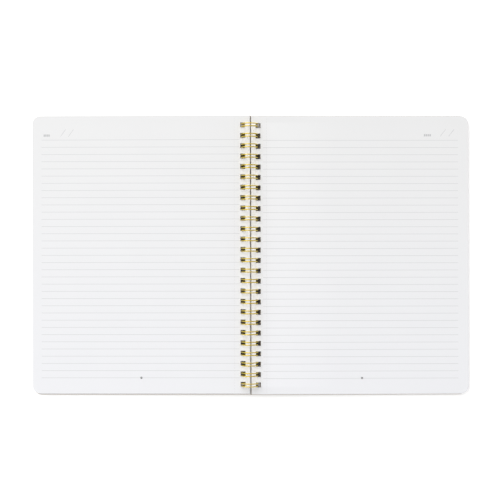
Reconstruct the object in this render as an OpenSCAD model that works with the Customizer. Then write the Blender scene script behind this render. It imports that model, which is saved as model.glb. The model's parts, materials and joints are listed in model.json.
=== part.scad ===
// An open notebook on a twin-loop wire: two page stacks and two covers that turn about one row of rings.
// Origin on the table under the middle of the rings, +X to the right, +Y to the head of the page, +Z up.

/* [Leaves] */
// Width of a leaf from its spine edge to its fore edge
leaf_w = 177.8; // [120:0.1:220]
// Height of a leaf from head to tail
leaf_h = 227.2; // [80:0.1:300]
// Radius of the two outer corners of a leaf
corner_r = 6.4; // [1:0.1:15]
// Thickness of the page stack on each side
stack_t = 3.2; // [1:0.1:4.5]
// Clear width between a leaf's spine edge and the middle of the binding
spine_gap = 0.5; // [0.4:0.1:1.4]
// Clear height between each open page and the plane through the axis of the rings
page_drop = 0.15; // [0.1:0.05:0.5]
// How far the left stack has slid on the wire towards the head
left_slip = 0.3; // [-0.3:0.05:0.3]
// How far the right stack has slid on the wire towards the head
right_slip = -0.3; // [-0.3:0.05:0.3]

/* [Covers] */
// Thickness of a cover board
cover_t = 1.2; // [0.6:0.1:2]
// How far a cover stands past the leaves at head, tail and fore edge
cover_lip = 0.7; // [0.4:0.1:3]
// Clear width between a cover's spine edge and the middle of the binding
cover_gap = 0.3; // [0.2:0.05:1]

/* [Punched holes] */
// Side of a square hole in the leaves and covers
hole_side = 4; // [3.9:0.1:4.4]
// Paper left between a leaf's spine edge and its holes
leaf_margin = 3.7; // [3:0.1:3.8]
// Board left between a cover's spine edge and its holes
cover_margin = 3.7; // [3:0.1:3.8]
// How far a loop of wire can slide each way along the spine in its holes
hole_play = 0.4; // [0.35:0.05:0.6]
// Least distance from the middle of the first hole to the head of the leaf, and so at the tail
hole_end = 6.5; // [4:0.1:15]

/* [Wire] */
// Distance from one loop to the next
pitch = 8.467; // [7.5:0.001:12]
// Diameter of the wire
wire_d = 0.9; // [0.6:0.05:1]
// Least clear distance between the inside of a loop and the margin of a cover
wire_play = 0.3; // [0.2:0.05:0.6]
// Bend radius of the wire where a leg turns into a heel
heel_bend = 1.2; // [0.8:0.1:1.3]
// Gap where the closed ring brings the tips up to the heels
closing_gap = 0.3; // [0.1:0.05:1]

/* [Hidden] */
$fn = 48;
// How far a cutter runs past the faces it cuts
cut_past = 1;
// Number of loops that the leaf's height has room for
loops = floor((leaf_h - 2 * hole_end) / pitch) + 1;
// Depth of a cover's underside below the axis of the rings
cover_low = page_drop + stack_t + cover_t;
// Radius of a loop's centreline, which just takes the covers' margins inside it
ring_r = norm([cover_gap + cover_margin + wire_play, cover_low]) + wire_d / 2;
// The rings stand on the table
axis_z = ring_r + wire_d / 2;
// Distance between the two legs of a loop, centre to centre
leg_gap = hole_side - 2 * hole_play - wire_d;
// Distance of a cover's fore edge from the middle of the binding
cover_reach = spine_gap + leaf_w + cover_lip;
// Slope at which a cover meets the table along its fore edge, with the rings under its spine edge
slope = atan2(cover_reach, cover_low) - acos(axis_z / norm([cover_reach, cover_low]));
// Board width from spine edge to fore edge
cover_w = cover_reach - cover_gap;
cover_h = leaf_h + 2 * cover_lip;
// Distance along the spine between the last leg of a loop and the first leg of the next
heel_span = pitch - leg_gap;
// How far a tip reaches past the lowest line of the rings, with the closing gap
tip_reach = leg_gap / 2 + wire_d / 2 + closing_gap;
// How far a heel reaches past the end of its legs
heel_reach = heel_bend + wire_d / 2;
// Angle before the lowest point at which the legs turn into the heels
heel_angle = asin(tip_reach / norm([ring_r, heel_reach])) + atan2(heel_reach, ring_r);
// Last part of a leg's arc that is drawn with its heel, and how far the rest of the leg laps over it
heel_arc = 10;
arc_lap = 5;
cover_colour = [0.72, 0.66, 0.58];
page_colour = [0.96, 0.96, 0.95];
wire_colour = [0.83, 0.72, 0.40];

// Places of the loops along the spine
function loop_y(i) = (i - (loops - 1) / 2) * pitch;

// Outline of a sheet that starts at x = 0 on the spine side and has two rounded outer corners
module sheet_outline(w, h, r) {
    translate([0, -h / 2])
        square([w - r, h]);
    translate([w - r, -h / 2 + r])
        square([r, h - 2 * r]);
    for (side = [-1, 1])
        translate([w - r, side * (h / 2 - r)])
            circle(r = r);
}

// Square cutters for the row of holes, margin away from the spine edge
module hole_row(margin, t) {
    for (i = [0 : loops - 1])
        translate([margin, loop_y(i) - hole_side / 2, -cut_past])
            cube([hole_side, hole_side, t + 2 * cut_past]);
}

// A punched sheet or stack: its spine edge at x = 0, its underside at z = 0, moved by slip along the spine
module punched(w, h, r, t, margin, slip) {
    translate([0, slip, 0])
        difference() {
            linear_extrude(height = t)
                sheet_outline(w, h, r);
            hole_row(margin, t);
        }
}

// Places a right-hand piece, drawn with the axis of the rings at z = 0, down the slope to the table
module on_right() {
    translate([0, 0, axis_z])
        rotate([0, slope, 0])
            children();
}

// The same for the left-hand side
module on_left() {
    mirror([1, 0, 0])
        on_right()
            children();
}

module page_stack(slip) {
    color(page_colour)
        translate([spine_gap, 0, -page_drop - stack_t])
            punched(leaf_w, leaf_h, corner_r, stack_t, leaf_margin, slip);
}

module cover_board() {
    color(cover_colour)
        translate([cover_gap, 0, -cover_low])
            punched(cover_w, cover_h, corner_r + cover_lip, cover_t, cover_margin, 0);
}

module front_cover() {
    on_left()
        cover_board();
}

module left_pages() {
    on_left()
        page_stack(left_slip);
}

module right_pages() {
    on_right()
        page_stack(right_slip);
}

module back_cover() {
    on_right()
        cover_board();
}

// Round wire bent through an angle about z, from the x axis
module bend(r, angle) {
    rotate_extrude(angle = angle)
        translate([r, 0])
            circle(d = wire_d);
}

// Wire along the ring, from its lowest point towards the right through an angle
module ring_arc(angle) {
    rotate([90, 0, 0])
        rotate([0, 0, -90])
            bend(ring_r, angle);
}

// One leg of a loop, from the lowest point up the right side, over the top and down the left side
module leg() {
    ring_arc(360 - heel_angle - heel_arc + arc_lap);
}

// The round nose that joins the two legs of a loop at the lowest point
module tip() {
    translate([0, 0, -ring_r])
        rotate([0, 0, 90])
            bend(leg_gap / 2, 180);
}

// The run along the spine that joins a loop to the next one, with the lower ends of the two legs it joins
module heel() {
    rotate([0, heel_angle, 0])
        for (y = [0, heel_span])
            translate([0, y, 0])
                mirror([1, 0, 0])
                    ring_arc(heel_arc);
    rotate([0, heel_angle, 0])
        translate([0, 0, -ring_r]) {
            translate([0, heel_bend, 0])
                rotate([0, 0, -90])
                    bend(heel_bend, 90);
            translate([heel_bend, heel_bend, 0])
                rotate([-90, 0, 0])
                    cylinder(d = wire_d, h = heel_span - 2 * heel_bend);
            translate([0, heel_span - heel_bend, 0])
                bend(heel_bend, 90);
        }
}

module wire() {
    color(wire_colour)
        translate([0, 0, axis_z])
            for (i = [0 : loops - 1])
                translate([0, loop_y(i), 0]) {
                    for (side = [-1, 1])
                        translate([0, side * leg_gap / 2, 0])
                            leg();
                    tip();
                    if (i < loops - 1)
                        translate([0, leg_gap / 2, 0])
                            heel();
                }
}

front_cover();
left_pages();
right_pages();
back_cover();
wire();
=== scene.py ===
# %% [markdown]
# # An open notebook on a twin-loop wire
# The notebook lies open near its middle. Five things make it up: two cloth-covered boards, two stacks of
# punched leaves and one length of gold-coloured wire that is bent into 26 double rings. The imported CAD
# model gives the frame in which they stand, so each piece below is worked out in millimetres from the same
# sizes and then put in its place.

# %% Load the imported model
import json
import math

import bpy
import numpy as np
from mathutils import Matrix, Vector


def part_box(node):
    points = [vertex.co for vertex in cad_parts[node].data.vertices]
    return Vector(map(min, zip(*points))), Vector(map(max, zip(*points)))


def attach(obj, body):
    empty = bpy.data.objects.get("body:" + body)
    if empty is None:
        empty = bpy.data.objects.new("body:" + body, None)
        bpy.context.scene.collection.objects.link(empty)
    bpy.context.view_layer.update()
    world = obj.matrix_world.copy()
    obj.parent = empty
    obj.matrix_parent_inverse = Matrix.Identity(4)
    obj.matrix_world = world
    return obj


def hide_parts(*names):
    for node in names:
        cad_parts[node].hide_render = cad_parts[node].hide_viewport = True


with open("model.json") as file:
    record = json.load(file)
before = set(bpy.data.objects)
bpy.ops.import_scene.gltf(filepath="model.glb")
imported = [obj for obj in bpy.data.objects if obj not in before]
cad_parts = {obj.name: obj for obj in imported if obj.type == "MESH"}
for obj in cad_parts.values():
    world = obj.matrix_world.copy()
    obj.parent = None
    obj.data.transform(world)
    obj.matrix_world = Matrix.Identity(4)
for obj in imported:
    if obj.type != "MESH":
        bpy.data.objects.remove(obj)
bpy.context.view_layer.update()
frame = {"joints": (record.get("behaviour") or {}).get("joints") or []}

MM = 0.001

# %% [markdown]
# The camera hangs nearly a metre straight above the spine and is turned by a tenth of a degree. Its long
# lens gives the slight spread of the rings towards head and tail. An orthographic camera would be simpler,
# but then every loop would look the same.

# %% Camera
SENSOR, LENS = 36, 83.2
CAMERA_PLACE, CAMERA_TURN_DEG = (0.27, 4.0, 950), -0.1

camera_data = bpy.data.cameras.new("overhead_camera")
camera_data.sensor_width = SENSOR
camera_data.lens = LENS
camera = bpy.data.objects.new("overhead_camera", camera_data)
camera.location = np.array(CAMERA_PLACE) * MM
camera.rotation_euler = (0, 0, math.radians(CAMERA_TURN_DEG))
bpy.context.scene.collection.objects.link(camera)
bpy.context.scene.camera = camera
bpy.context.scene.view_settings.view_transform = "Standard"
print("camera height in mm:", round(camera.location.z / MM), "lens:", round(camera_data.lens, 1))

# %% [markdown]
# The light is that of a studio for flat lays. A wide bright part of the dome stands past the head of the
# notebook, a little to the left, with one soft lamp in front of it. The rest of the room is dim, most of
# all straight overhead, where the camera hangs. Paper turns such light into an even white. A round bright
# wire mirrors the room instead, so it shows a bright line along its head side and a dark one along its tail
# side. The punched holes see only what is overhead, so they stay dark. A white band round the horizon is a
# backdrop for views from low down.

# %% Studio light
# Where the dome is bright, its brightness at three cosines of the angle from there, and its touch of blue
SKY_TOWARDS = (-0.5, 0.65, 0.57)
SKY_STOPS = ((-0.3, 0.60), (0.45, 0.64), (0.8, 2.3))
SKY_BLUE = 1.005
# Share of light left overhead and white at the horizon, each with the heights between which it changes
OVERHEAD_SHARE, OVERHEAD_FROM, OVERHEAD_TO = 0.25, 0.8, 0.95
HORIZON_COLOUR, HORIZON_FROM, HORIZON_TO = (1, 1, 1, 1), 0.12, 0.3
LAMP_PLACE, LAMP_SIDE, LAMP_WATTS = (-0.75, 0.5, 1.15), 1.3, 5.0

world = bpy.data.worlds.new("studio_dome")
bpy.context.scene.world = world
world.use_nodes = True
sky = world.node_tree


def sky_node(kind, **inputs):
    """Adds a node to the world and sets or links its inputs by name, where _ stands for a space."""
    node = sky.nodes.new("ShaderNode" + kind)
    for key, value in inputs.items():
        socket = node.inputs[key.replace("_", " ")]
        if isinstance(value, bpy.types.NodeSocket):
            sky.links.new(value, socket)
        else:
            socket.default_value = value
    return node


looking = sky_node("TexCoord").outputs["Generated"]
height = sky_node("SeparateXYZ", Vector=looking).outputs["Z"]
facing = sky_node("VectorMath")
facing.operation = "DOT_PRODUCT"
facing.inputs[1].default_value = np.array(SKY_TOWARDS) / np.linalg.norm(SKY_TOWARDS)
sky.links.new(looking, facing.inputs[0])
part = sky_node("MapRange", Value=facing.outputs["Value"], From_Min=-1.0).outputs[0]
sky_ramp = sky_node("ValToRGB", Fac=part)
stops = sky_ramp.color_ramp.elements
stops.new(0.5)
for stop, (cosine, bright) in zip(stops, SKY_STOPS):
    stop.position, stop.color = (cosine + 1) / 2, (bright, bright, SKY_BLUE * bright, 1)
overhead = sky_node("MapRange", Value=height, From_Min=OVERHEAD_FROM, From_Max=OVERHEAD_TO,
                    To_Min=1.0, To_Max=OVERHEAD_SHARE).outputs[0]
low = sky_node("MapRange", Value=height, From_Min=HORIZON_FROM, From_Max=HORIZON_TO,
               To_Min=1.0, To_Max=0.0).outputs[0]
mixed = sky_node("Mix")
mixed.data_type = "RGBA"
mixed.inputs["B"].default_value = HORIZON_COLOUR
sky.links.new(low, mixed.inputs["Factor"])
sky.links.new(sky_ramp.outputs["Color"], mixed.inputs["A"])
sky.links.new(mixed.outputs["Result"], sky.nodes["Background"].inputs["Color"])
sky.links.new(overhead, sky.nodes["Background"].inputs["Strength"])

lamp_data = bpy.data.lights.new("soft_lamp", "AREA")
lamp_data.size = LAMP_SIDE
lamp_data.energy = LAMP_WATTS
lamp = bpy.data.objects.new("soft_lamp", lamp_data)
lamp.location = LAMP_PLACE
lamp.rotation_euler = (-lamp.location).to_track_quat("-Z", "Y").to_euler()
bpy.context.scene.collection.objects.link(lamp)
print("sky stops:", [(round(stop.position, 2), round(stop.color[0], 2)) for stop in stops])

# %% [markdown]
# Every finish is built from a few patterns laid on the object's own coordinates, so that it stays on the
# piece when the piece turns. These small helpers add a node, or a soft-edged noise of a given grain in
# millimetres.

# %% Helpers for finishes
def new_finish(name):
    """A material, its tree, its shader, and a function that adds a node and sets or links its inputs."""
    material = bpy.data.materials.new(name)
    material.use_nodes = True
    tree = material.node_tree

    def add(kind, **inputs):
        """Finds an input by its name, or as _0 or _1 by its place where a node's inputs share one name."""
        node = tree.nodes.new("ShaderNode" + kind)
        for key, value in inputs.items():
            if key in ("operation", "blend_type", "data_type", "attribute_name"):
                setattr(node, key, value)
                continue
            socket = node.inputs[int(key[1:])] if key[0] == "_" else node.inputs[key]
            if isinstance(value, bpy.types.NodeSocket):
                tree.links.new(value, socket)
            else:
                socket.default_value = value
        return node

    return material, tree, tree.nodes["Principled BSDF"], add


def grain(add, place, millimetres, detail=2.0):
    """Noise whose spots are about so many millimetres across, as a value from 0 to 1."""
    return add("TexNoise", Vector=place, Scale=1 / (millimetres * MM), Detail=detail).outputs[0]


def spread(add, value, low, high, start=0.0, end=1.0):
    """Carries a value over in proportion, from the range start to end to the range low to high."""
    node = add("MapRange", Value=value)
    for name, number in (("From Min", start), ("From Max", end), ("To Min", low), ("To Max", high)):
        node.inputs[name].default_value = number
    return node.outputs[0]


def tint(add, value, dark, light):
    """A colour between dark at 0 and light at 1."""
    node = add("Mix", data_type="RGBA", Factor=value)
    node.inputs["A"].default_value = (*dark, 1)
    node.inputs["B"].default_value = (*light, 1)
    return node.outputs["Result"]


print("noise scale for a grain of 3 mm:", round(1 / (3 * MM), 1))

# %% [markdown]
# Under the notebook lies plain white card. It is only a stage, so it is one large flat sheet with faint
# unevenness. From just under the notebook's edges outwards it glows a little, like the top of a light
# table, which keeps the shadows round the notebook pale.

# %% Floor
# The glow, the millimetres over which it sets in, and half the sides in mm of the rectangle that has none
FLOOR_GLOW, GLOW_RISE, GLOW_HOLE = 0.3, 10, (172, 101)
FLOOR_HALF = 3.0


def floor_finish():
    """White card. Its glow sets in over a centimetre outside a rectangle: the distance from that is the
    larger of |x| - half the width and |y| - half the height."""
    material, tree, shader, add = new_finish("white_card")
    place = add("TexCoord").outputs["Object"]
    tone = spread(add, grain(add, place, 3.0), 0.96, 0.97)
    grey = add("CombineColor", Red=tone, Green=tone, Blue=tone).outputs[0]
    tree.links.new(grey, shader.inputs["Base Color"])
    shader.inputs["Roughness"].default_value = 0.9
    shader.inputs["Specular IOR Level"].default_value = 0.2
    axes = add("SeparateXYZ", Vector=add("VectorMath", operation="ABSOLUTE", _0=place).outputs[0])
    past = [add("Math", operation="SUBTRACT", _0=axes.outputs[name], _1=half * MM).outputs[0]
            for name, half in zip(("X", "Y"), GLOW_HOLE)]
    distance = add("Math", operation="MAXIMUM", _0=past[0], _1=past[1]).outputs[0]
    glow = spread(add, distance, 0.0, FLOOR_GLOW, end=GLOW_RISE * MM)
    shader.inputs["Emission Color"].default_value = (1, 1, 1, 1)
    tree.links.new(glow, shader.inputs["Emission Strength"])
    return material


floor_corners = np.array([(-1, -1, 0), (1, -1, 0), (1, 1, 0), (-1, 1, 0)]) * FLOOR_HALF
floor_mesh = bpy.data.meshes.new("studio_floor")
floor_mesh.from_pydata(floor_corners.tolist(), [], [(0, 1, 2, 3)])
floor_mesh.materials.append(floor_finish())
studio_floor = bpy.data.objects.new("studio_floor", floor_mesh)
bpy.context.scene.collection.objects.link(studio_floor)
print("floor side in m:", 2 * FLOOR_HALF)

# %% [markdown]
# ## One half of an open notebook
# The two halves mirror each other, so a piece is drawn once in a half frame, in millimetres: `out` from the
# spine to the fore edge, `along` the spine to the head, and `up` from the axis of the rings. Each half then
# slopes down a little from the rings to the table. The slope is half of what a cover turns beyond 180
# degrees to close on the other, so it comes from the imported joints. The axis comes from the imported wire.

# %% Half frame
hinges = {joint["name"]: joint for joint in frame["joints"]}
SLOPE = math.radians((hinges["back_cover_hinge"]["range_deg"][1] - 180) / 2)
wire_low, wire_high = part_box("wire")
AXIS_Z = (wire_low.z + wire_high.z) / 2 / MM
WIRE_D = 0.9
RING_R = (wire_high.z - wire_low.z) / 2 / MM - WIRE_D / 2
LEFT, RIGHT = -1, 1
SHEET_SMOOTH_DEG = 30


def to_place(points, side):
    """Turns (out, along, up) in mm into the model's own frame in metres. X is side (out cos + up sin), Y is
    along, and Z is the height of the axis - out sin + up cos, all of the slope."""
    out, along, up = np.moveaxis(points, -1, 0)
    cos, sin = math.cos(SLOPE), math.sin(SLOPE)
    return np.stack([side * (out * cos + up * sin), along, AXIS_Z - out * sin + up * cos], -1) * MM


def new_mesh(name, places, faces, finishes):
    """A mesh of places in metres and faces, with its finishes."""
    mesh = bpy.data.meshes.new(name)
    mesh.from_pydata(places.tolist(), [], faces)
    for finish in finishes:
        mesh.materials.append(finish)
    return mesh


def new_piece(mesh, body, smooth_deg):
    """Shades a mesh smooth but for edges sharper than an angle, and makes it a piece that rides on a body,
    with the finishes its mesh holds. A face of n corners counts as n - 2 triangles."""
    mesh.shade_smooth()
    mesh.set_sharp_from_angle(angle=math.radians(smooth_deg))
    mesh.update()
    piece = bpy.data.objects.new(mesh.name, mesh)
    bpy.context.scene.collection.objects.link(piece)
    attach(piece, body)
    triangles = len(mesh.loops) - 2 * len(mesh.polygons)
    print(f"{piece.name}: {len(mesh.vertices)} points, {triangles} triangles")
    return piece


def add_piece(name, points, faces, side, body, finishes, finish_of_face=None, tone_and_shade_of_face=None):
    """Makes a piece of (out, along, up) points and faces, mirrored for the left half, whose faces are
    turned back so that they still point outwards. Each face may have its own finish, and its own tone, with
    any painted shade in it, for the shader to read."""
    if side == LEFT:
        faces = [face[::-1] for face in faces]
    mesh = new_mesh(name, to_place(points, side), faces, finishes)
    if finish_of_face is not None:
        mesh.polygons.foreach_set("material_index", np.asarray(finish_of_face, np.int32))
    if tone_and_shade_of_face is not None:
        tones = mesh.attributes.new("layer_tone_and_shade", "FLOAT", "FACE")
        tones.data.foreach_set("value", np.asarray(tone_and_shade_of_face, np.float32))
    return new_piece(mesh, body, SHEET_SMOOTH_DEG)


print("slope in degrees:", round(math.degrees(SLOPE), 3))
print("axis and ring radius in mm:", round(AXIS_Z, 3), round(RING_R, 3))

# %% [markdown]
# ## Punched sheets
# A cover board and a stack of leaves have the same outline: a straight spine edge, two rounded outer
# corners and a row of square holes. Cutting 26 holes with Booleans works, but leaves ragged faces. Here the
# sheet is one grid whose rows and columns run along the edges of the holes, so a hole is simply a few cells
# that are left out.

# %% Grid of a punched sheet
PITCH, LOOPS, HOLE = 8.467, 26, 4.0
LEAF_W, LEAF_H, LEAF_CORNER, LEAF_MARGIN = 177.8, 227.2, 6.4, 3.7
FINE_COLUMN, WIDE_COLUMN, CORNER_COLUMNS, CORNER_STEPS = 2, 6, 8, 8
hole_middle = (np.arange(LOOPS) - (LOOPS - 1) / 2) * PITCH


def steps(start, end, longest):
    """Even steps from start to end that are no longer than longest, without the end itself."""
    return np.linspace(start, end, max(1, math.ceil((end - start) / longest)), endpoint=False)


def punched_grid(width, height, corner, margin):
    """Points (out, along) of a grid over the sheet, and its quads with the holes left out. In the corners a
    row ends where the circle does: its outer end is width - corner + the root of corner squared - overrun
    squared, and the columns of the last two corner radii are squeezed in proportion."""
    flat = width - 2 * corner
    columns = np.concatenate([steps(0, margin, FINE_COLUMN), steps(margin, margin + HOLE, FINE_COLUMN),
                              steps(margin + HOLE, flat, WIDE_COLUMN),
                              steps(flat, width, 2 * corner / CORNER_COLUMNS), [width]])
    arc = height / 2 - corner + corner * np.sin(np.linspace(0, math.pi / 2, CORNER_STEPS + 1)[1:])
    rows = np.sort(np.concatenate([-arc, hole_middle - HOLE / 2, hole_middle, hole_middle + HOLE / 2,
                                   (hole_middle[1:] + hole_middle[:-1]) / 2, arc]))
    out, along = np.meshgrid(columns, rows, indexing="ij")
    overrun = np.clip(np.abs(along) - (height / 2 - corner), 0, corner)
    outer_end = width - corner + np.sqrt(corner ** 2 - overrun ** 2)
    out = np.where(out > flat, flat + (out - flat) * (outer_end - flat) / (width - flat), out)
    cell_out, cell_along = (columns[1:] + columns[:-1]) / 2, (rows[1:] + rows[:-1]) / 2
    beside_hole = np.abs(cell_out - margin - HOLE / 2) < HOLE / 2
    level_with_hole = np.abs(cell_along[:, None] - hole_middle).min(1) < HOLE / 2
    keep = ~(beside_hole[:, None] & level_with_hole)
    first = (np.arange(len(columns) - 1)[:, None] * len(rows) + np.arange(len(rows) - 1))[keep]
    quads = np.stack([first, first + len(rows), first + len(rows) + 1, first + 1], -1)
    return np.stack([out, along], -1).reshape(-1, 2), quads


leaf_grid = punched_grid(LEAF_W, LEAF_H, LEAF_CORNER, LEAF_MARGIN)
print("grid of one leaf:", len(leaf_grid[0]), "points,", len(leaf_grid[1]), "quads")

# %% [markdown]
# A board has rounded edges, and a stack of leaves shows every leaf at its edge. Both come from the same
# idea: the rim of the grid, round the outside and round each hole, is carried down through a list of
# levels. At each level it may move in, slide or turn a little. That way a stack gets real steps between its
# leaves, not painted lines.

# %% Shell of a punched sheet
def rim_of(points, quads):
    """The edges that only one quad has, with that quad on their left, and for each point the way out of the
    sheet. Where two rim edges meet, that way is the sum of their normals over 1 + their product, so that
    both move alike."""
    edges = np.stack([quads, np.roll(quads, -1, 1)], -1).reshape(-1, 2)
    size = len(points)
    edges = edges[~np.isin(edges @ [size, 1], edges @ [1, size])]
    run = points[edges[:, 1]] - points[edges[:, 0]]
    normal = np.stack([run[:, 1], -run[:, 0]], -1) / np.linalg.norm(run, axis=1)[:, None]
    after, before = np.zeros((2, size, 2))
    after[edges[:, 0]], before[edges[:, 1]] = normal, normal
    return edges, (after + before) / (1 + (after * before).sum(-1, keepdims=True))


def punched_shell(points, quads, up, inset, slide, turn, sag):
    """A closed shell with its top at the first level and its underside at the last. At level k a point lies
    at point - inset way_out + slide + turn (-along, out), at the height up + its share of sag(out, along),
    which fades from all of it at the top to none at the underside. Also returns each face's level: -1 on
    top, -2 below."""
    edges, way_out = rim_of(points, quads)
    rim = np.unique(edges)
    levels, size = len(up), len(points)

    def at_level(which, k):
        """The chosen points of the grid, moved to where level k has them."""
        flat = points[which] - inset[k] * way_out[which] + slide[k]
        flat = flat + turn[k] * np.stack([-flat[:, 1], flat[:, 0]], -1)
        height = up[k] + (1 - k / (levels - 1)) * sag(flat[:, 0], flat[:, 1])
        return np.column_stack([flat, height])

    every = np.arange(size)
    shell = np.concatenate([at_level(every, 0), *[at_level(rim, k) for k in range(1, levels - 1)],
                            at_level(every, levels - 1)])
    below = size + (levels - 2) * len(rim)
    in_rim = np.searchsorted(rim, edges)
    between = size + np.arange(levels - 2)[:, None, None] * len(rim) + in_rim
    number = np.concatenate([edges[None], between, below + edges[None]])
    walls = np.stack([number[1:, :, 0], number[1:, :, 1], number[:-1, :, 1], number[:-1, :, 0]], -1)
    faces = np.concatenate([quads, below + quads[:, ::-1], walls.reshape(-1, 4)])
    level_of_face = np.concatenate([np.full(len(quads), -1), np.full(len(quads), -2),
                                    np.repeat(np.arange(levels - 1), len(edges))])
    used, faces = np.unique(faces, return_inverse=True)
    return shell[used], faces.reshape(-1, 4).tolist(), level_of_face


def no_sag(out, along):
    """Flat boards don't sag."""
    return np.zeros_like(out)


print("rim of one leaf:", len(rim_of(*leaf_grid)[0]), "edges")

# %% [markdown]
# ## Cloth-covered boards
# Only slivers of the covers show past the leaves, but seen from the side and from below they are most of
# the notebook. The outside is a plain weave in an oatmeal thread. Each thread is modelled in the shader: in
# a draught board of cells about half a millimetre wide, warp and weft take turns to lie on top, and each is
# round across its own width. A slow noise pushes the threads about a little, as uneven yarn does.

# %% Cover cloth
# Width of a thread in mm, and the scale and size in mm of the noise that pushes the threads about
THREAD, SLUB_NOISE, SLUB_SHIFT = 0.55, 180.0, 0.35
THREAD_DARK, THREAD_LIGHT = (0.50, 0.43, 0.34), (0.74, 0.67, 0.56)
# Painted shade of the weave: its colour in the hollows between threads and on their crowns
WEAVE_SHADE_LOW, WEAVE_SHADE_HIGH = (0.55, 0.53, 0.50), (1.0, 1.0, 1.0)
LINING_DARK, LINING_LIGHT = (0.36, 0.27, 0.18), (0.54, 0.42, 0.30)


def cloth_finish():
    """Plain weave. With a and b the places across warp and weft in threads, a thread's crown is 1 less the
    square of (2 part - 1) across it. The cell's parity, floor a + floor b, says which of the two is on top,
    and the height is the upper thread's crown times half of 1 + the lower one's. Where the height is low the
    colour is darkened, as painted shade between the threads."""
    material, tree, shader, add = new_finish("oatmeal_cloth")
    place = add("TexCoord").outputs["Object"]
    uneven = add("TexNoise", Vector=place, Scale=SLUB_NOISE, Detail=2.0).outputs["Color"]
    slub = add("VectorMath", operation="SCALE", _0=uneven, Scale=SLUB_SHIFT * MM).outputs[0]
    pushed = add("VectorMath", operation="ADD", _0=place, _1=slub).outputs[0]
    threads = add("VectorMath", operation="SCALE", _0=pushed, Scale=1 / (THREAD * MM)).outputs[0]
    axes = add("SeparateXYZ", Vector=threads)

    def crown(value):
        """How high a thread stands at a place across it."""
        part = add("Math", operation="FRACT", _0=value).outputs[0]
        centred = add("Math", operation="MULTIPLY_ADD", _0=part, _1=2.0, _2=-1.0).outputs[0]
        square = add("Math", operation="MULTIPLY", _0=centred, _1=centred).outputs[0]
        return add("Math", operation="SUBTRACT", _0=1.0, _1=square).outputs[0]

    warp, weft = crown(axes.outputs["X"]), crown(axes.outputs["Y"])
    cells = [add("Math", operation="FLOOR", _0=axes.outputs[name]).outputs[0] for name in ("X", "Y")]
    both = add("Math", operation="ADD", _0=cells[0], _1=cells[1]).outputs[0]
    parity = add("Math", operation="FLOORED_MODULO", _0=both, _1=2.0).outputs[0]
    across = add("Mix", data_type="FLOAT", Factor=parity, A=warp, B=weft).outputs["Result"]
    lengthways = add("Mix", data_type="FLOAT", Factor=parity, A=weft, B=warp).outputs["Result"]
    bow = add("Math", operation="MULTIPLY_ADD", _0=lengthways, _1=0.5, _2=0.5).outputs[0]
    height = add("Math", operation="MULTIPLY", _0=across, _1=bow).outputs[0]
    spots = grain(add, place, 1.4, 3.0)
    mottle = add("Math", operation="MULTIPLY_ADD", _0=spots, _1=0.9, _2=-0.2).outputs[0]
    thread = tint(add, mottle, THREAD_DARK, THREAD_LIGHT)
    # Painted shade in the hollows of the weave.
    weave = tint(add, height, WEAVE_SHADE_LOW, WEAVE_SHADE_HIGH)
    shade = add("Mix", data_type="RGBA", blend_type="MULTIPLY", Factor=1.0, A=thread, B=weave)
    tree.links.new(shade.outputs["Result"], shader.inputs["Base Color"])
    shader.inputs["Roughness"].default_value = 0.85
    shader.inputs["Sheen Weight"].default_value = 0.15
    bump = add("Bump", Strength=0.6, Distance=0.12 * MM, Height=height)
    tree.links.new(bump.outputs[0], shader.inputs["Normal"])
    return material


def lining_finish():
    """Uncoated brown board paper. Noise that is drawn out sideways gives short fibres between two browns,
    and a slow noise adds a third as much of cloudiness."""
    material, tree, shader, add = new_finish("board_lining")
    place = add("TexCoord").outputs["Object"]
    drawn_out = add("Mapping", Vector=place, Scale=(0.4, 1.0, 1.0)).outputs[0]
    fibres = grain(add, drawn_out, 0.45, 4.0)
    cloudy = add("Math", operation="MULTIPLY_ADD", _0=grain(add, place, 3.0), _1=0.35, _2=fibres).outputs[0]
    brown = tint(add, spread(add, cloudy, -0.75, 0.95), LINING_DARK, LINING_LIGHT)
    tree.links.new(brown, shader.inputs["Base Color"])
    shader.inputs["Roughness"].default_value = 0.8
    bump = add("Bump", Strength=0.3, Distance=0.05 * MM, Height=fibres)
    tree.links.new(bump.outputs[0], shader.inputs["Normal"])
    return material


cloth, lining = cloth_finish(), lining_finish()
print("threads to the centimetre:", round(10 / THREAD, 1))

# %% [markdown]
# A board is 1.2 mm thick. Its edge is rounded by the cloth that is turned over it, so the first and last
# levels follow a quarter circle. The inside is lined with brown paper, seen only when the leaves are
# turned. Each board has slid a little in the play of its holes.

# %% Cover boards
COVER_GAP, COVER_W, COVER_H, COVER_CORNER, COVER_MARGIN = 0.3, 178.7, 228.6, 7.1, 3.7
COVER_TOP, COVER_T, COVER_ROUND = -3.35, 1.2, 0.3
# How far each board has slid, outwards and along the spine
COVER_SLIP = {LEFT: (-0.7, 0.0), RIGHT: (0.25, -0.35)}
EDGE_STEPS = 4


def rounded_edge(top, thickness, radius):
    """Heights and insets of levels down a rounded edge. A quarter circle goes by radius (1 - cos) down and
    radius (1 - sin) in, and the lower edge is its mirror image."""
    angle = np.linspace(0, math.pi / 2, EDGE_STEPS)
    down, inwards = radius * (1 - np.cos(angle)), radius * (1 - np.sin(angle))
    heights = np.concatenate([top - down, (top - thickness + down)[::-1]])
    return heights, np.concatenate([inwards, inwards[::-1]])


def cover_board(name, side, node):
    """A punched sheet with rounded edges, whose top face alone has the lining. Its points are moved by the
    gap at the spine and by its own slip."""
    points, quads = punched_grid(COVER_W, COVER_H, COVER_CORNER, COVER_MARGIN)
    up, inset = rounded_edge(COVER_TOP, COVER_T, COVER_ROUND)
    still = np.zeros((len(up), 2))
    place = np.array([COVER_GAP, 0]) + COVER_SLIP[side]
    shell, faces, level = punched_shell(points + place, quads, up, inset, still, still[:, 0], no_sag)
    board = add_piece(name, shell, faces, side, node, [cloth, lining], level == -1)
    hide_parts(node)
    return board


cover_board("front_board", LEFT, "front_cover")
cover_board("back_board", RIGHT, "back_cover")
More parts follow.
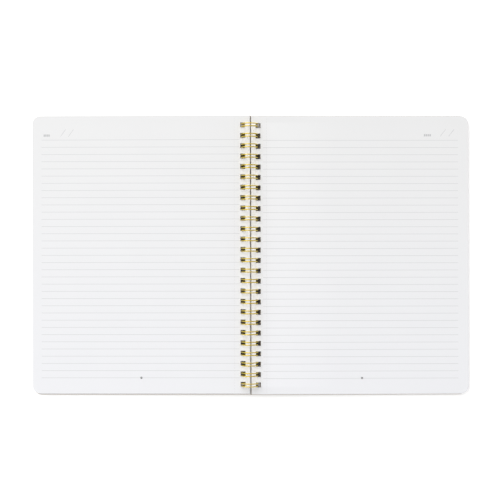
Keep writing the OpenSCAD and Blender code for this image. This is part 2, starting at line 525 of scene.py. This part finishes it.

# %% [markdown]
# ## Leaves
# White uncoated paper is nearly even, with a fine tooth. Painted light makes it a touch lighter and bluer
# towards the tail. Between the rings more painted light makes up for the shade of the rings, and on the
# right page painted light fades slowly away from the spine. At the edge of the stack each leaf has its own
# tone, because no two cut edges catch the light alike, and inside the holes painted shade darkens it. The
# tone is a value kept on the faces of the mesh, and the shader reads it.

# %% Paper
# The two whites are painted light: the tail is a touch lighter and bluer than the head.
PAPER_HEAD, PAPER_TAIL, HEAD_Y = (0.748, 0.748, 0.745), (0.776, 0.779, 0.797), 115
# Painted light that makes up for the rings' shade: its share at places in mm across the spine, the ramp's
# width, and where it ends along the spine
PAINTED_LIGHT_TONES = ((-9.0, 1.0), (-5.5, 1.16), (5.5, 1.2), (9.0, 1.045), (70.0, 1.0))
TONE_SPAN, PAINTED_LIGHT_END, PAINTED_LIGHT_FADE = 200.0, 108.0, 1.0


def paper_finish():
    """Fibre noise of a third of a millimetre for tooth. The tone is the product of that, a slow noise, the
    leaf's own tone on its edge with painted shade in the holes, and painted light across the spine, and it
    scales a blend of two whites from head to tail, which paints the tail lighter and bluer."""
    material, tree, shader, add = new_finish("white_paper")
    place = add("TexCoord").outputs["Object"]
    axes = add("SeparateXYZ", Vector=place)
    fibre = grain(add, place, 0.35, 3.0)
    tooth, cloud = spread(add, fibre, 0.985, 1.01), spread(add, grain(add, place, 45.0), 0.99, 1.01)
    tone = add("Math", operation="MULTIPLY", _0=tooth, _1=cloud).outputs[0]
    edge = add("Attribute", attribute_name="layer_tone_and_shade").outputs["Fac"]
    tone = add("Math", operation="MULTIPLY", _0=tone, _1=edge).outputs[0]
    per_span = 1 / (TONE_SPAN * MM)
    across = add("Math", operation="MULTIPLY_ADD", _0=axes.outputs["X"], _1=per_span, _2=0.5).outputs[0]
    painted_light_ramp = add("ValToRGB", Fac=across)
    stops = painted_light_ramp.color_ramp.elements
    for x, share in PAINTED_LIGHT_TONES[1:-1]:
        stops.new(x / TONE_SPAN + 0.5).color = (share, share, share, 1)
    for stop, (x, share) in ((stops[0], PAINTED_LIGHT_TONES[0]), (stops[-1], PAINTED_LIGHT_TONES[-1])):
        stop.position, stop.color = x / TONE_SPAN + 0.5, (share, share, share, 1)
    # The painted light fades out beyond the first and last ring, where the rings cast no shade.
    from_middle = add("Math", operation="ABSOLUTE", _0=axes.outputs["Y"]).outputs[0]
    fade_from, fade_to = (PAINTED_LIGHT_END - PAINTED_LIGHT_FADE) * MM, (PAINTED_LIGHT_END + PAINTED_LIGHT_FADE) * MM
    beyond = spread(add, from_middle, 0.0, 1.0, fade_from, fade_to)
    light = add("Mix", data_type="FLOAT", Factor=beyond, A=painted_light_ramp.outputs["Color"], B=1.0).outputs["Result"]
    tone = add("Math", operation="MULTIPLY", _0=tone, _1=light).outputs[0]
    # Painted light: lighter and bluer towards the tail.
    tail = spread(add, axes.outputs["Y"], 0.0, 1.0, HEAD_Y * MM, -HEAD_Y * MM)
    paper = tint(add, tail, PAPER_HEAD, PAPER_TAIL)
    colour = add("VectorMath", operation="SCALE", _0=paper, Scale=tone).outputs[0]
    tree.links.new(colour, shader.inputs["Base Color"])
    tree.links.new(spread(add, fibre, 0.72, 0.88), shader.inputs["Roughness"])
    shader.inputs["Specular IOR Level"].default_value = 0.3
    bump = add("Bump", Strength=0.25, Distance=0.03 * MM, Height=fibre)
    tree.links.new(bump.outputs[0], shader.inputs["Normal"])
    return material


paper = paper_finish()
print("paper tone at head and tail:", PAPER_HEAD, PAPER_TAIL)

# %% [markdown]
# A stack holds 32 leaves of a tenth of a millimetre. Loose leaves never lie quite flush, so each one slides
# and turns by a few hundredths of a millimetre. The draws are seeded, so the stack is the same at every
# run. A whole stack has also slid in its rings, along the spine and across it, and it fans a little from
# its top leaf down. The upper leaves wave a little too, which only ever goes down: the facing pages nearly
# touch when the notebook is shut. Inside a punched hole the cut edges get almost no light, so painted shade
# darkens their tone, more on the right page than on the left.

# %% Leaf stacks
LEAF_GAP, PAGE_UP, STACK_T, LEAVES = 0.5, -0.15, 3.2, 32
# How far each stack has slid along the spine and outwards
SLIP, SIDE_SLIP = {LEFT: 0.3, RIGHT: -0.3}, {LEFT: -0.65, RIGHT: 0.8}
# How far the lowest leaf lies nearer the spine and nearer the head than the top one
SPINE_FAN, HEAD_FAN = {LEFT: 0.5, RIGHT: -0.25}, {LEFT: -0.5, RIGHT: 0.4}
# Most that one leaf slides, in mm, and turns, in radians
LOOSE_SLIDE, LOOSE_TURN = 0.05, 0.0003
# Tones of cut edges, the share of their tone kept under painted shade at the holes, and how far round a hole
# and from head and tail that counts
DARKEST_EDGE, PALEST_EDGE, PUNCHED_PAINTED_SHADE = 0.86, 1.0, {LEFT: 0.6, RIGHT: 0.25}
ROUND_HOLE, END_STRIP = 0.3, 1
# Depth, radians to the mm outwards and along the spine, and start of each slow wave
SLOW_WAVE, SLOWER_WAVE = (0.05, 0.031, 0.017, 0.6), (0.03, -0.012, 0.023, math.pi / 2)
draws = np.random.default_rng(26)


def page_sag(out, along):
    """Two waves that only go down: each is its depth times 1 + the sine of its shares of out and along and
    its start, and both are taken away."""
    waves = [depth * (1 + np.sin(by_out * out + by_along * along + start))
             for depth, by_out, by_along, start in (SLOW_WAVE, SLOWER_WAVE)]
    return -waves[0] - waves[1]


def page_height(out, along):
    """Height of the open page over a place (out, along)."""
    return PAGE_UP + page_sag(out, along)


def leaf_stack(name, side, node):
    """A shell with two levels to a leaf, at its upper and lower side. Each leaf slides and turns by its own
    draw, and it fans in proportion to how low it lies. Only the top leaf lies true, for the print."""
    points, quads = leaf_grid
    spine_edge = LEAF_GAP + SIDE_SLIP[side]
    leaf = np.repeat(np.arange(LEAVES), 2)
    up = PAGE_UP - (leaf + np.tile([0, 1], LEAVES)) * (STACK_T / LEAVES)
    slide = draws.uniform(-LOOSE_SLIDE, LOOSE_SLIDE, (LEAVES, 2))
    turn = draws.uniform(-LOOSE_TURN, LOOSE_TURN, LEAVES)
    slide[0], turn[0] = 0, 0
    slide += np.linspace(0, 1, LEAVES)[:, None] * [-SPINE_FAN[side], HEAD_FAN[side]]
    tone = draws.uniform(DARKEST_EDGE, PALEST_EDGE, LEAVES)
    shell, faces, level = punched_shell(points + [spine_edge, SLIP[side]], quads, up, np.zeros(len(up)),
                                        slide[leaf], turn[leaf], page_sag)
    tone_and_shade_of_face = np.where(level < 0, 1, tone[np.maximum(level, 0) // 2])
    out, along, _ = np.moveaxis(shell[np.array(faces)].mean(1), -1, 0)
    from_holes = np.abs(out - spine_edge - LEAF_MARGIN - HOLE / 2)
    in_hole = (level >= 0) & (from_holes < HOLE / 2 + ROUND_HOLE) & (np.abs(along) < LEAF_H / 2 - END_STRIP)
    # Painted shade: the cut edges inside the holes are darkened, more on the right page.
    tone_and_shade_of_face[in_hole] *= PUNCHED_PAINTED_SHADE[side]
    stack = add_piece(name, shell, faces, side, node, [paper], tone_and_shade_of_face=tone_and_shade_of_face)
    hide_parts(node)
    return stack


leaf_stack("left_leaves", LEFT, "left_pages")
leaf_stack("right_leaves", RIGHT, "right_pages")

# %% [markdown]
# ## Printing
# The rules are a soft grey ink, three tenths of a millimetre wide. They could be painted in the paper's
# shader, but a picture baked for a page this large would blur them. So each is a very thin strip of its
# own, sunk a hundredth of a millimetre into the page and about as much above it. The underside of a stack
# is a page too, seen when the leaves are turned over, so everything is printed twice: on the open page, and
# below with the layout of the facing page.

# %% Printed strokes
# How far ink reaches into the page and above it, and the longest step along a stroke
INK_SUNK, INK_PROUD, INK_STEP = 0.01, 0.012, 12.0
BODY = {LEFT: "left_pages", RIGHT: "right_pages"}
SIDE_NAME = {LEFT: "left", RIGHT: "right"}


def ink_finish(name, colour):
    """Thin ink on paper: its colour with the paper's fibres showing through as a slight unevenness."""
    material, tree, shader, add = new_finish(name)
    fibre = grain(add, add("TexCoord").outputs["Object"], 0.4, 2.0)
    full, thin = (tuple(share * c for c in colour) for share in (0.96, 1.03))
    tree.links.new(tint(add, fibre, full, thin), shader.inputs["Base Color"])
    shader.inputs["Roughness"].default_value = 0.7
    shader.inputs["Specular IOR Level"].default_value = 0.3
    return material


def ink_place(flat, side, under):
    """Places (out, along) moved outwards with their leaf, and heights of the ink's lower and upper side."""
    flat = flat + np.array([SIDE_SLIP[side] - (SPINE_FAN[side] if under else 0), 0])
    page = np.full(flat.shape[:-1], PAGE_UP - STACK_T) if under else page_height(flat[..., 0], flat[..., 1])
    low, high = (INK_PROUD, INK_SUNK) if under else (INK_SUNK, INK_PROUD)
    return flat, page - low, page + high


def strokes(starts, ends, width, side, under):
    """Thin closed bars from starts to ends, each (n, 2) in (out, along). A bar is a rectangle carried along
    its line: half the width to either side, and from just inside the page to just outside."""
    run = ends - starts
    length = np.linalg.norm(run, axis=1)
    count = max(2, math.ceil(length.max() / INK_STEP) + 1)
    share = np.linspace(0, 1, count)[None, :, None]
    line = starts[:, None] + share * run[:, None]
    across = np.stack([-run[:, 1], run[:, 0]], -1) / length[:, None] * width / 2
    corner_side, is_high = np.array([-1, 1, 1, -1]), np.array([False, False, True, True])
    corners = line[:, :, None] + corner_side[:, None] * across[:, None, None]
    flat, low, high = ink_place(corners, side, under)
    points = np.concatenate([flat, np.where(is_high, high, low)[..., None]], -1)
    ring = np.arange(4)
    sides = np.stack([ring, np.roll(ring, -1), np.roll(ring, -1) + 4, ring + 4], -1)
    sides = (sides[None] + 4 * np.arange(count - 1)[:, None, None]).reshape(-1, 4)
    caps = np.array([[0, 3, 2, 1], ring + 4 * (count - 1)])
    bar = np.concatenate([sides, caps])
    faces = (bar[None] + 4 * count * np.arange(len(starts))[:, None, None]).reshape(-1, 4)
    return points.reshape(-1, 3), faces.tolist()


def print_twice(name, side, ink, draw):
    """Joins what draw(page, side, under) makes for both faces of a stack into one piece. The first value is
    the page whose layout it takes."""
    top, top_faces = draw(side, side, False)
    below, below_faces = draw(-side, side, True)
    points = np.concatenate([top, below])
    faces = top_faces + [[corner + len(top) for corner in face] for face in below_faces]
    return add_piece(f"{SIDE_NAME[side]}_{name}", points, faces, side, BODY[side], [ink])


rule_ink = ink_finish("rule_ink", (0.58, 0.58, 0.585))
print("ink stands above the page by", INK_PROUD, "mm")

# %% [markdown]
# Each page has 34 rules, from just outside the holes to a blank margin at the fore edge. The right page's
# print sits a little lower than the left page's, as happens where leaves are cut after they are printed.

# %% Ruled lines
RULES, RULE_PITCH, RULE_WIDTH = 34, 5.893, 0.3
# Place of the top line along the spine, and of the lines' inner and outer ends
RULE_TOP = {LEFT: 94.2, RIGHT: 93.5}
RULE_FROM = {LEFT: 9.0, RIGHT: 10.2}
RULE_TO = {LEFT: 170.9, RIGHT: 169.8}


def ruled_lines(page, side, under):
    """Line number n lies n pitches below the first and runs from the inner limit to the outer one."""
    along = RULE_TOP[page] - RULE_PITCH * np.arange(RULES)
    starts = np.stack([np.full(RULES, RULE_FROM[page]), along], -1)
    ends = np.stack([np.full(RULES, RULE_TO[page]), along], -1)
    return strokes(starts, ends, RULE_WIDTH, side, under)


print_twice("rules", LEFT, rule_ink, ruled_lines)
print_twice("rules", RIGHT, rule_ink, ruled_lines)

# %% [markdown]
# A leaf tears out along a line of tiny slits, 13 mm from the spine. From above it is a faint dotted line.
# The slits are too fine to cut, so the shade in them is painted: thin strokes in a grey a little darker than
# the paper.

# %% Tear lines
TEAR_AT, TEAR_END, TEAR_PITCH, TEAR_CUT, TEAR_WIDTH = 13.06, 112.8, 2.4, 1.6, 0.14
# Painted shade of the slits.
slit_shade = ink_finish("slit_shade", (0.62, 0.62, 0.62))


def tear_line(page, side, under):
    """Slits that follow one another by the pitch between the two ends. Both pages have the same line, so
    the layout isn't asked for, and it slides with its stack."""
    along = np.arange(-TEAR_END, TEAR_END - TEAR_CUT, TEAR_PITCH) + SLIP[side]
    starts = np.stack([np.full(len(along), TEAR_AT), along], -1)
    return strokes(starts, starts + [0, TEAR_CUT], TEAR_WIDTH, side, under)


print_twice("tear_line", LEFT, slit_shade, tear_line)
print_twice("tear_line", RIGHT, slit_shade, tear_line)

# %% [markdown]
# At the outer end of the head margin stand four short blocks in a row and two slanted strokes, and near the
# foot is a small dark dot. All are thin ink, made in the same way as the rules.

# %% Marks on the pages
head_ink, dot_ink = ink_finish("head_ink", (0.5, 0.5, 0.505)), ink_finish("dot_ink", (0.18, 0.18, 0.18))
BLOCKS, BLOCK_TALL, BLOCK_GAP = 4, 1.8, 0.25
BLOCKS_OUT = {LEFT: (169.1, 163.8), RIGHT: (141.9, 148.0)}
SLASH_FOOT = {LEFT: (155.3, 148.8), RIGHT: (155.2, 162.1)}
SLASH_LEAN = {LEFT: -4.2, RIGHT: 4.6}
HEAD_ALONG = {LEFT: 97.9, RIGHT: 97.6}
DOT_PLACE = {LEFT: (89.3, -100.3), RIGHT: (90.9, -100.8)}
SLASH_RISE, SLASH_DROP, SLASH_WIDTH = 5.8, 0.9, 0.26
DOT_R, DOT_CORNERS = 0.95, 20


def head_blocks(page, side, under):
    """Equal shares of one row, each without its last part, which is the gap to the next block. Where they
    count towards the spine, starts and stops change places."""
    ends = np.linspace(*BLOCKS_OUT[page], BLOCKS + 1)
    gap = BLOCK_GAP * (ends[1] - ends[0])
    along = np.full(BLOCKS, HEAD_ALONG[page])
    starts, stops = np.stack([ends[:-1], along], -1), np.stack([ends[1:] - gap, along], -1)
    if stops[0, 0] < starts[0, 0]:
        starts, stops = stops, starts
    return strokes(starts, stops, BLOCK_TALL, side, under)


def head_slashes(page, side, under):
    """Two slanted strokes that rise to the reader's right, from a foot by a lean and a rise."""
    foot = np.stack([SLASH_FOOT[page], np.full(2, HEAD_ALONG[page] - SLASH_DROP)], -1)
    return strokes(foot, foot + [SLASH_LEAN[page], SLASH_RISE], SLASH_WIDTH, side, under)


def foot_dot(page, side, under):
    """A thin round disc: a ring of points on the ink's upper side and one on its lower side."""
    angle = np.arange(DOT_CORNERS) * 2 * math.pi / DOT_CORNERS
    circle = np.array(DOT_PLACE[page]) + DOT_R * np.stack([np.cos(angle), np.sin(angle)], -1)
    flat, low, high = ink_place(circle, side, under)
    points = np.concatenate([np.column_stack([flat, high]), np.column_stack([flat, low])])
    ring = np.arange(DOT_CORNERS)
    walls = np.stack([ring + DOT_CORNERS, np.roll(ring, -1) + DOT_CORNERS, np.roll(ring, -1), ring], -1)
    return points, [ring.tolist(), (ring + DOT_CORNERS)[::-1].tolist(), *walls.tolist()]


for side in (LEFT, RIGHT):
    print_twice("head_blocks", side, head_ink, head_blocks)
    print_twice("head_slashes", side, head_ink, head_slashes)
    print_twice("foot_dot", side, dot_ink, foot_dot)

# %% [markdown]
# ## The wire
# One wire makes all 26 double rings. It runs up and round as one ring, turns back in a round nose at the
# bottom, runs back round as the second ring beside it, and then goes along the spine in a heel to the next
# pair. It could be a curve object with a round bevel, but a sweep in numpy gives the exact path and full
# control of the ends: the whole wire is a list of points, and a circle is carried along it.

# %% Path of the wire
# Gap between two legs, bend of a heel, angle of the heels before the lowest point, and cut at both ends
LEG_GAP, HEEL_BEND, HEEL_DEG, CUT_DEG = 2.3, 1.2, 29.7735, 5.0
ARC_STEPS, NOSE_STEPS, BEND_STEPS = 58, 15, 7
HEEL_SPAN = PITCH - LEG_GAP


def loop_path():
    """One double ring about the origin: up the first leg from the heel at 270 degrees - the heel's angle,
    over the top to the lowest point at -90 degrees, round a nose of half the gap, and back the same way."""
    angle = np.radians(np.linspace(270 - HEEL_DEG, -90, ARC_STEPS))
    first = np.stack([RING_R * np.cos(angle), np.full(ARC_STEPS, -LEG_GAP / 2), RING_R * np.sin(angle)], -1)
    nose_angle = np.radians(np.linspace(-90, -270, NOSE_STEPS + 2)[1:-1])
    nose = np.stack([LEG_GAP / 2 * np.cos(nose_angle), LEG_GAP / 2 * np.sin(nose_angle),
                     np.full(NOSE_STEPS, -RING_R)], -1)
    return np.concatenate([first, nose, first[::-1] * [1, -1, 1]])


def heel_path():
    """From the end of one pair's second leg to the start of the next pair: a quarter bend, a straight run
    along the spine and a quarter bend back, all in the plane that touches the ring at the heel."""
    bend = np.radians(np.linspace(-90, 0, BEND_STEPS + 1)[1:])
    ahead = HEEL_BEND * np.cos(bend)
    sideways = HEEL_BEND + HEEL_BEND * np.sin(bend)
    ahead = np.concatenate([ahead, ahead[::-1]])
    sideways = np.concatenate([sideways, HEEL_SPAN - sideways[::-1]])
    tilt = math.radians(HEEL_DEG)
    return np.stack([ahead * math.cos(tilt) - RING_R * math.sin(tilt), LEG_GAP / 2 + sideways,
                     -ahead * math.sin(tilt) - RING_R * math.cos(tilt)], -1)[:-1]


loop, heel = loop_path(), heel_path()
print("points to a loop and a heel:", len(loop), len(heel))

# %% [markdown]
# Rings that are closed on a machine are nearly alike, yet each stands a hair differently. Every pair gets a
# small turn about the axis, drawn with a seed, and the heels between them share the difference.

# %% Sweep of the wire
# Corners of the bar's section, steps to a rounded end, and how far an end bulges in radii of the wire
WIRE_SIDES, END_STEPS, END_ROUND = 12, 4, 0.6
RING_TURN_DEG, WIRE_SMOOTH_DEG = 0.7, 60


def whole_path():
    """All loops and heels in one line of points. Pair i is moved along the spine to its place, and a turn
    about the axis that belongs to the pair is interpolated along each heel. Both ends of the wire are cut a
    few degrees short of the heel line."""
    unit = np.concatenate([loop, heel])
    path = (unit + hole_middle[:, None, None] * [0, 1, 0]).reshape(-1, 3)
    within = np.concatenate([np.zeros(len(loop)), np.linspace(0, 1, len(heel) + 2)[1:-1]])
    pair = (np.arange(LOOPS)[:, None] + within).reshape(-1)
    path, pair = path[:-len(heel)], pair[:-len(heel)]
    trim = math.ceil(CUT_DEG / ((360 - HEEL_DEG) / (ARC_STEPS - 1)))
    path, pair = path[trim:-trim], pair[trim:-trim]
    pair_turn = draws.uniform(-RING_TURN_DEG, RING_TURN_DEG, LOOPS)
    turn = np.radians(np.interp(pair, np.arange(LOOPS), pair_turn))
    x, y, z = path.T
    return np.stack([x * np.cos(turn) + z * np.sin(turn), y, z * np.cos(turn) - x * np.sin(turn)], -1)


def swept_wire(path, radius):
    """A round bar along a path. At each point lie a unit vector away from the axis of the rings, made
    square to the path, and one square to both, and the circle is radius (cos first + sin second). Rings
    that shrink with the cosine as they go out with the sine round the ends, and one face closes each."""
    run = np.gradient(path, axis=0)
    run /= np.linalg.norm(run, axis=1)[:, None]
    angle = np.linspace(0, math.pi / 2, END_STEPS + 1)[1:-1]
    ahead, shrink = radius * END_ROUND * np.sin(angle)[:, None], np.cos(angle)
    path = np.concatenate([path[0] - ahead[::-1] * run[0], path, path[-1] + ahead * run[-1]])
    run = np.concatenate([np.repeat(run[:1], len(angle), 0), run, np.repeat(run[-1:], len(angle), 0)])
    size = radius * np.concatenate([shrink[::-1], np.ones(len(path) - 2 * len(angle)), shrink])
    away = path * [1, 0, 1]
    away -= (away * run).sum(-1, keepdims=True) * run
    away /= np.linalg.norm(away, axis=1)[:, None]
    beside = np.cross(run, away)
    around = np.arange(WIRE_SIDES) * 2 * math.pi / WIRE_SIDES
    points = path[:, None] + size[:, None, None] * (np.cos(around)[:, None] * away[:, None]
                                                    + np.sin(around)[:, None] * beside[:, None])
    ring = np.arange(WIRE_SIDES)
    sides = np.stack([ring, np.roll(ring, -1), np.roll(ring, -1) + WIRE_SIDES, ring + WIRE_SIDES], -1)
    sides = (sides[None] + WIRE_SIDES * np.arange(len(path) - 1)[:, None, None]).reshape(-1, 4)
    caps = [ring[::-1].tolist(), (ring + WIRE_SIDES * (len(path) - 1)).tolist()]
    return points.reshape(-1, 3), sides.tolist() + caps


print("a ring turns by at most", RING_TURN_DEG, "degrees")

# %% [markdown]
# The finish is bright gold-coloured metal. It is smooth, but not a perfect mirror: its polish is finely
# uneven, and its colour drifts over a few millimetres between a paler and a browner gold.

# %% Gold finish
GOLD_DEEP, GOLD_PALE = (0.58, 0.43, 0.055), (0.71, 0.555, 0.105)


def gold_finish():
    """Metal whose colour drifts slowly between two golds, with a fine noise in roughness and height."""
    material, tree, shader, add = new_finish("gold_wire_finish")
    place = add("TexCoord").outputs["Object"]
    drift = grain(add, place, 5.0, 3.0)
    fine = grain(add, place, 0.25, 2.0)
    gold = tint(add, spread(add, drift, -0.3, 1.3), GOLD_DEEP, GOLD_PALE)
    tree.links.new(gold, shader.inputs["Base Color"])
    shader.inputs["Metallic"].default_value = 1.0
    tree.links.new(spread(add, fine, 0.16, 0.30), shader.inputs["Roughness"])
    bump = add("Bump", Strength=0.15, Distance=0.02 * MM, Height=fine)
    tree.links.new(bump.outputs[0], shader.inputs["Normal"])
    return material


wire_points, wire_faces = swept_wire(whole_path(), WIRE_D / 2)
wire_mesh = new_mesh("ring_wire", (wire_points + [0, 0, AXIS_Z]) * MM, wire_faces, [gold_finish()])
ring_wire = new_piece(wire_mesh, "wire", WIRE_SMOOTH_DEG)
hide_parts("wire")
